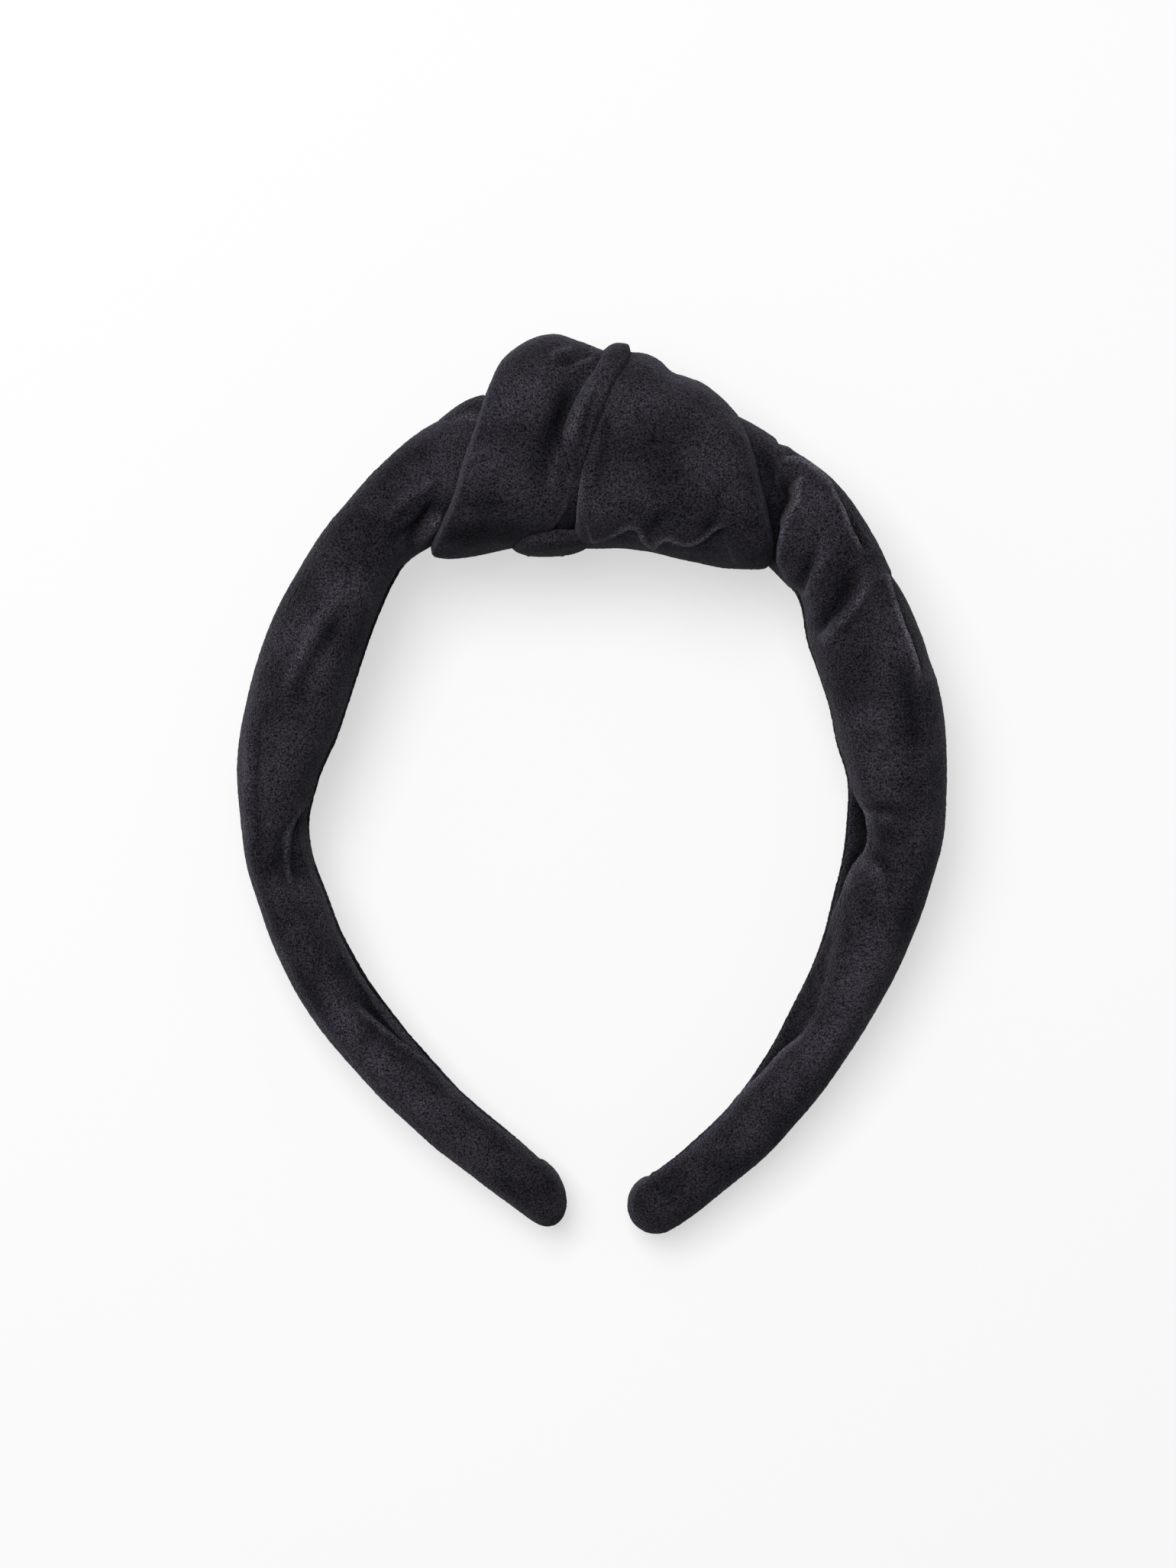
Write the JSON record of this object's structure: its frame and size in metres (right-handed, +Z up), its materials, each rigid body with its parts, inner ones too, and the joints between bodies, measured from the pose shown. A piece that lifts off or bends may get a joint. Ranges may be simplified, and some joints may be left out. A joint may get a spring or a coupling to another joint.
{
  "type": "headband",
  "caption": "Padded velvet headband: a springy C-shaped band with tapering velvet-sleeved arms and a big gathered knot over the crown.",
  "frame": {"origin": "bottom centre of the bounding box: on the surface that the headband lies on, under the middle of its outline", "axes": "+Z up from that surface, +Y towards the crown and its knot, -Y towards the two tips, +X to the right as seen from above"},
  "size_m": [0.1268, 0.1614, 0.0452],
  "materials": {
    "velvet": "charcoal-black short-pile velvet with a soft sheen at grazing angles",
    "plastic": "moulded satin plastic",
    "foam": "soft open-cell foam sheet",
    "wadding": "loose polyester wadding",
    "tape": "woven grosgrain tape, matt",
    "thread": "twisted polyester sewing thread"
  },
  "bodies": {
    "crown": {"core_crown": "plastic", "foam_crown": "foam", "knot_filling": "wadding", "knot_wrap_left": "velvet", "knot_pleat": "velvet", "knot_wrap_right": "velvet", "knot_tuck_left": "velvet", "knot_tuck_right": "velvet", "knot_under_fold": "velvet", "knot_tack_thread": "thread"},
    "left_arm": {"core_arm_left": "plastic", "foam_arm_left": "foam", "sleeve_left": "velvet", "tape_left": "tape", "tip_stitch_left": "thread"},
    "right_arm": {"core_arm_right": "plastic", "foam_arm_right": "foam", "sleeve_right": "velvet", "tape_right": "tape", "tip_stitch_right": "thread"}
  },
  "joints": [
    {"name": "left_arm_flex", "type": "hinge", "parent": "crown", "child": "left_arm", "pos_m": [-0.02577, 0.05386, 0.0213], "axis": [0, 0, -1], "range_deg": [-2, 18], "stiffness_Nm_per_rad": 0.56},
    {"name": "right_arm_flex", "type": "hinge", "parent": "crown", "child": "right_arm", "pos_m": [0.03029, 0.05149, 0.0211], "axis": [0, 0, 1], "range_deg": [-2, 18], "stiffness_Nm_per_rad": 0.56}
  ]
}
